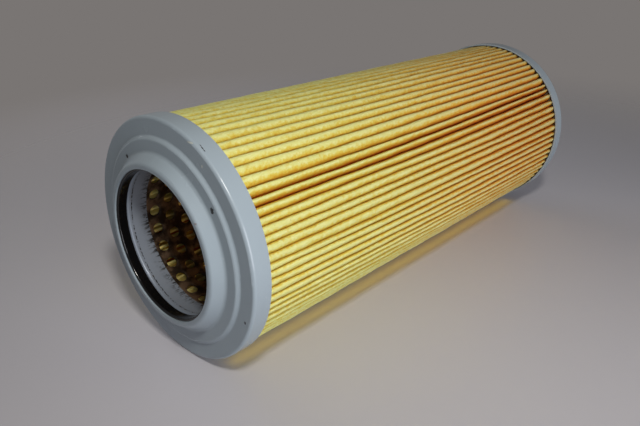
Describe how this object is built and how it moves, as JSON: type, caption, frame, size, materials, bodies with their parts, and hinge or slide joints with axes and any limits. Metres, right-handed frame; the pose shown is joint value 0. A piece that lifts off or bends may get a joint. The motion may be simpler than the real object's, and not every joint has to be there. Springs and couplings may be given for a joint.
{
  "type": "pleated filter element",
  "caption": "Cylindrical pleated paper filter element with a perforated steel core and open pressed steel end caps with rubber seals.",
  "frame": {"origin": "centre of the bottom collar's top ring, on the ground, on the element's axis", "axes": "+Z along the element's axis towards its other end; X and Y across it"},
  "size_m": [0.13, 0.13, 0.34],
  "materials": {
    "cap_paint": "satin grey paint on pressed steel",
    "seal_rubber": "smooth, lightly oiled",
    "sleeve_steel": "zinc plated, scuffed",
    "core_steel": "dull dark sheet steel",
    "potting_adhesive": "cast adhesive",
    "filter_paper": "resin-treated filter paper, pleated",
    "seam_glue": "cured glue bead"
  },
  "bodies": {
    "root": {"end_cap_top": "cap_paint", "end_cap_bottom": "cap_paint", "seal_ring_top": "seal_rubber", "seal_ring_bottom": "seal_rubber", "inner_sleeve_top": "sleeve_steel", "inner_sleeve_bottom": "sleeve_steel", "potting_top": "potting_adhesive", "potting_bottom": "potting_adhesive", "perforated_core": "core_steel", "pleated_media": "filter_paper", "media_seam": "seam_glue"}
  },
  "joints": []
}
